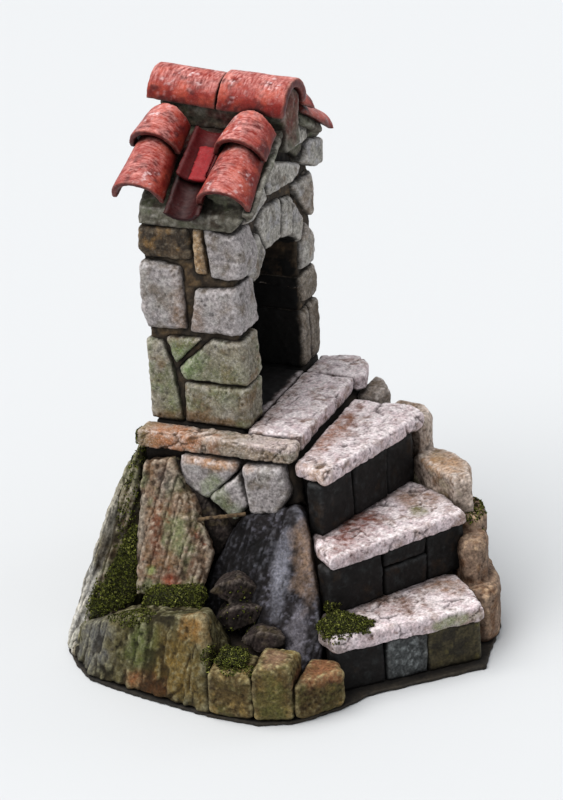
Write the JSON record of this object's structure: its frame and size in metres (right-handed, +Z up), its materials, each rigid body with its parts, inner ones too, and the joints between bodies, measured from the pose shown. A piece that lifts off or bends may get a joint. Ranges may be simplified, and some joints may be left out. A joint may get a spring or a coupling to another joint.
{
  "type": "miniature terrain ruin",
  "caption": "Tabletop terrain ruin: small tile-roofed stone niche with an arched mouth on a rocky mound, reached by a winding stair of worn slabs.",
  "frame": {"origin": "centre of the bounding box on the underside of the base plate, which lies on the table", "axes": "+Z up; +X out of the niche's mouth, towards the stair; +Y along the niche wall, from its near tiled end to its far end"},
  "size_m": [0.0934, 0.0918, 0.1204],
  "materials": {
    "wall_stone": "flat painted grey stone, brown wash, pale dry-brush",
    "step_slab": "flat painted warm grey, whitish dry-brush on the edges",
    "riser_stone": "flat painted near-black stone",
    "mound_rock": "flat painted ochre, purple-grey and green-brown rock",
    "rubble_fill": "flat painted dark brown fill",
    "mortar": "flat painted mortar",
    "roof_tile": "painted terracotta with a slight sheen",
    "moss": "fine green flock",
    "twig": "dead root",
    "base_rim": "flat painted dark base"
  },
  "bodies": {
    "root": {"arch_keystone": "wall_stone", "arch_mortar": "mortar", "arch_stones": "wall_stone", "back_wall_mortar": "mortar", "back_wall_stones": "wall_stone", "base_plate": "base_rim", "buttress_rock": "mound_rock", "cleft_slates": "mound_rock", "corbel_stones": "wall_stone", "cover_tile_near_left_lower": "roof_tile", "cover_tile_near_left_upper": "roof_tile", "cover_tile_near_right_lower": "roof_tile", "cover_tile_near_right_upper": "roof_tile", "cover_tiles_far": "roof_tile", "far_pillar_mortar": "mortar", "far_pillar_stones": "wall_stone", "foot_stones": "mound_rock", "gable_stones": "wall_stone", "landing_edge_slab": "step_slab", "landing_rear_slab": "step_slab", "landing_slab": "step_slab", "leaning_rock": "mound_rock", "left_cliff": "mound_rock", "left_cliff_rear": "mound_rock", "lower_boulder": "mound_rock", "moss_patches": "moss", "near_pillar_mortar": "mortar", "niche_floor_slab": "step_slab", "pan_tile_near_broken": "roof_tile", "pan_tile_near_lower": "roof_tile", "pan_tile_near_upper": "roof_tile", "pan_tiles_far": "roof_tile", "pillar_base_stone": "wall_stone", "pillar_left_stone": "wall_stone", "pillar_right_stone": "wall_stone", "pillar_second_stone": "wall_stone", "pillar_tall_stone": "wall_stone", "pillar_top_stones": "wall_stone", "pillar_wedge_stone": "wall_stone", "rear_rock_left": "mound_rock", "rear_rock_middle": "mound_rock", "rear_rock_right": "mound_rock", "ridge_mortar": "mortar", "ridge_tile_left": "roof_tile", "ridge_tile_right": "roof_tile", "rock_core": "rubble_fill", "roof_bed_far": "mortar", "roof_bed_near": "mortar", "root": "twig", "side_stones_lower": "mound_rock", "side_stones_upper": "mound_rock", "stair_core": "rubble_fill", "step_1_risers": "riser_stone", "step_1_tread": "step_slab", "step_2_risers": "riser_stone", "step_2_tread": "step_slab", "step_3_risers": "riser_stone", "step_3_tread": "step_slab", "verge_fillet": "mortar"}
  },
  "joints": []
}
